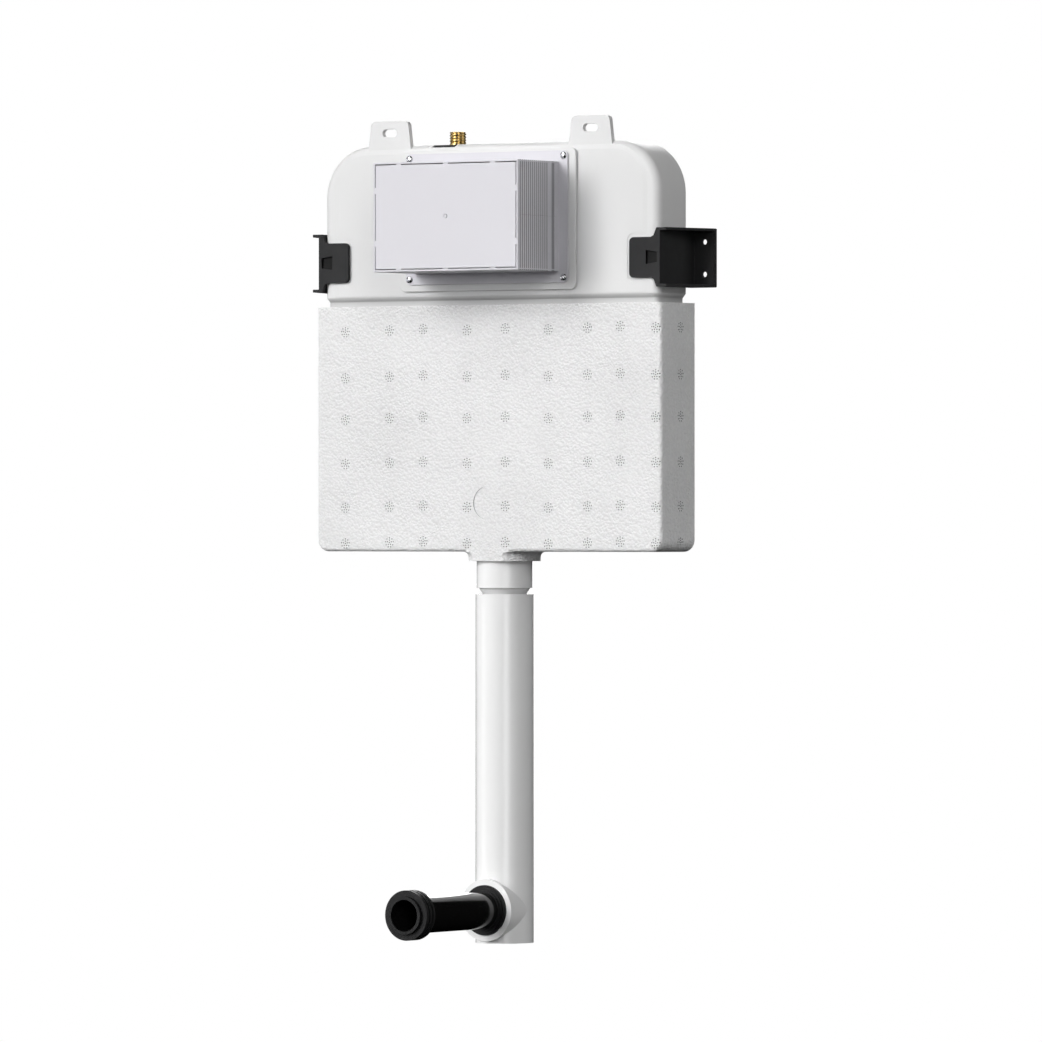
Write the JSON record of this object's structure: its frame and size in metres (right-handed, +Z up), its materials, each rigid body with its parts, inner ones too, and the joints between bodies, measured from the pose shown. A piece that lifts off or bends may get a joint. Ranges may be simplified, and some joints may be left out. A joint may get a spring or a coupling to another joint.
{
  "type": "concealed toilet cistern",
  "caption": "Slim in-wall toilet cistern with foam jacket, clip-on wall brackets, protection box, inner fill and dual flush valves, flush pipe and pan connector.",
  "frame": {"origin": "centre of the four wall bracket holes, on the wall plane", "axes": "+Z up, -Y out of the wall towards the room, +X to the right seen from the room"},
  "size_m": [0.576, 0.265, 1.0287],
  "materials": {
    "tank_white": "satin",
    "foam_white": "matte",
    "frame_white": "satin",
    "box_lilac": "satin",
    "screw_chrome": "polished",
    "bracket_black": "satin",
    "brass": "satin",
    "rubber_grey": "matte",
    "rubber_black": "matte",
    "lever_blue": "satin",
    "float_blue": "satin",
    "hose_grey": "satin",
    "valve_white": "satin",
    "pipe_white": "gloss",
    "tube_black": "gloss"
  },
  "bodies": {
    "cistern": {"tank_shell": "tank_white", "insulation_jacket": "foam_white", "access_gasket": "rubber_grey", "access_frame": "frame_white", "protection_box": "box_lilac", "box_screws": "screw_chrome", "left_bracket": "bracket_black", "right_bracket": "bracket_black", "inlet_tail": "brass", "inlet_plate": "bracket_black", "inlet_washer": "rubber_grey", "stop_valve_body": "brass", "supply_hose": "hose_grey", "hose_nuts": "screw_chrome", "fill_valve_body": "valve_white", "fill_valve_clip": "valve_white", "lever_pin": "screw_chrome", "valve_base": "valve_white", "base_washer": "rubber_grey", "valve_cage": "lever_blue", "actuator_bridge": "valve_white", "rocker_axle": "screw_chrome", "outlet_nut": "pipe_white", "outlet_washer": "rubber_grey"},
    "stop_knob": {"stop_valve_knob": "lever_blue"},
    "float": {"float_cup": "float_blue", "float_rod": "valve_white"},
    "float_arm": {"float_lever": "lever_blue"},
    "flush_stem": {"overflow_tube": "valve_white", "valve_seal": "rubber_grey", "valve_float": "float_blue", "full_lift_rod": "lever_blue"},
    "half_lift": {"half_lift_rod": "lever_blue"},
    "full_crank": {"full_rocker": "lever_blue"},
    "half_crank": {"half_rocker": "lever_blue"},
    "pipe": {"flush_pipe": "pipe_white", "pipe_seal": "rubber_black", "flush_bend": "pipe_white", "branch_seal": "rubber_black"},
    "connector": {"connector_tube": "tube_black", "pan_seal": "rubber_black"}
  },
  "joints": [
    {"name": "stop_knob_turn", "type": "hinge", "parent": "cistern", "child": "stop_knob", "pos_m": [-0.07, -0.058, 0.096], "axis": [0, -1, 0], "range_deg": [0, 90]},
    {"name": "float_rise", "type": "slide", "parent": "cistern", "child": "float", "axis": [0, 0, 1], "range_m": [0, 0.01]},
    {"name": "float_arm_swing", "type": "hinge", "parent": "cistern", "child": "float_arm", "pos_m": [-0.132, -0.05625, 0.022], "axis": [0, 1, 0], "range_deg": [0, 17.4]},
    {"name": "flush_lift", "type": "slide", "parent": "cistern", "child": "flush_stem", "axis": [0, 0, 1], "range_m": [0, 0.014]},
    {"name": "full_crank_turn", "type": "hinge", "parent": "cistern", "child": "full_crank", "pos_m": [0.024, -0.059, 0.05], "axis": [1, 0, 0], "range_deg": [0, 31.8]},
    {"name": "half_lift_slide", "type": "slide", "parent": "cistern", "child": "half_lift", "axis": [0, 0, 1], "range_m": [0, 0.014]},
    {"name": "half_crank_turn", "type": "hinge", "parent": "cistern", "child": "half_crank", "pos_m": [-0.024, -0.059, 0.05], "axis": [1, 0, 0], "range_deg": [0, 31.8]},
    {"name": "pipe_swivel", "type": "hinge", "parent": "cistern", "child": "pipe", "pos_m": [0, -0.04, -0.43], "axis": [0, 0, 1], "range_deg": [-90, 90]},
    {"name": "connector_slide", "type": "slide", "parent": "pipe", "child": "connector", "axis": [0, -1, 0], "range_m": [-0.02, 0.03]}
  ],
  "couplings": [
    {"joint": "float_arm_swing", "follows": "float_rise", "rad_per_m": 30.303},
    {"joint": "full_crank_turn", "follows": "flush_lift", "rad_per_m": 39.64},
    {"joint": "half_crank_turn", "follows": "half_lift_slide", "rad_per_m": 39.64}
  ]
}
